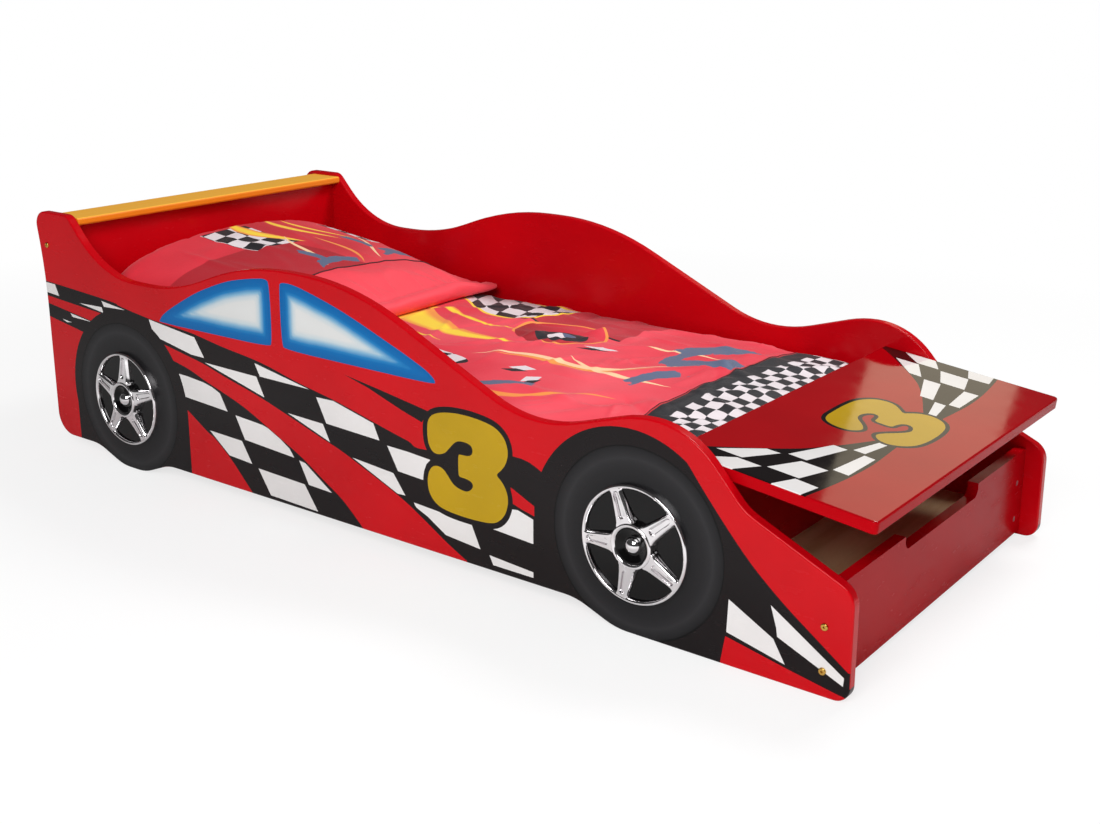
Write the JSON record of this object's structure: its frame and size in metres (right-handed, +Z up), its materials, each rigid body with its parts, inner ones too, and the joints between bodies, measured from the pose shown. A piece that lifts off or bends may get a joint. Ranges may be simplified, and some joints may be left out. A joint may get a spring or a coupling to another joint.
{
  "type": "children's car bed",
  "caption": "Low single bed for a child shaped as a racing car, with slatted base, rear shelf, bedding and a hinged bonnet over a front storage box.",
  "frame": {"origin": "middle of the bed's footprint, on the floor, with the bonnet raised as shown", "axes": "+X towards the front of the car, +Y towards its left-hand side, +Z up"},
  "size_m": [1.8248, 0.783, 0.492],
  "materials": {
    "panel_lacquer": "gloss red lacquer with printed livery",
    "shelf_lacquer": "satin yellow-orange lacquer",
    "plain_wood": "untreated",
    "zinc_steel": "zinc plated",
    "brass_bolts": "satin",
    "mattress_cover": "quilted cotton",
    "duvet_cover": "printed cotton",
    "pillow_cover": "printed cotton",
    "rim_chrome": "bright",
    "dish_plastic": "gloss black"
  },
  "bodies": {
    "bed": {"side_panel_right": "panel_lacquer", "side_panel_left": "panel_lacquer", "headboard": "panel_lacquer", "rear_rail": "panel_lacquer", "bulkhead": "panel_lacquer", "front_panel": "panel_lacquer", "rear_shelf": "shelf_lacquer", "storage_floor": "plain_wood", "storage_battens": "plain_wood", "slat_rail_right": "plain_wood", "slat_rail_left": "plain_wood", "slats": "plain_wood", "dowels": "plain_wood", "hinge_fixed_leaves": "zinc_steel", "hinge_pins": "zinc_steel", "bulkhead_screws": "zinc_steel", "barrel_nuts": "zinc_steel", "cam_pins": "zinc_steel", "cam_locks": "zinc_steel", "rail_screws": "zinc_steel", "wheel_screws": "zinc_steel", "panel_bolts": "brass_bolts", "mattress": "mattress_cover", "duvet": "duvet_cover", "pillow": "pillow_cover", "wheel_rim_rear_right": "rim_chrome", "hub_dome_rear_right": "rim_chrome", "wheel_dish_rear_right": "dish_plastic", "hub_cup_rear_right": "dish_plastic", "wheel_rim_rear_left": "rim_chrome", "hub_dome_rear_left": "rim_chrome", "wheel_dish_rear_left": "dish_plastic", "hub_cup_rear_left": "dish_plastic", "wheel_rim_front_right": "rim_chrome", "hub_dome_front_right": "rim_chrome", "wheel_dish_front_right": "dish_plastic", "hub_cup_front_right": "dish_plastic", "wheel_rim_front_left": "rim_chrome", "hub_dome_front_left": "rim_chrome", "wheel_dish_front_left": "dish_plastic", "hub_cup_front_left": "dish_plastic"},
    "bonnet_lid": {"bonnet": "panel_lacquer", "hinge_moving_leaves": "zinc_steel", "bonnet_screws": "zinc_steel"}
  },
  "joints": [
    {"name": "bonnet_hinge", "type": "hinge", "parent": "bed", "child": "bonnet_lid", "pos_m": [0.59242, 0, 0.27916], "axis": [0, -1, 0], "range_deg": [-17.3, 97]}
  ]
}
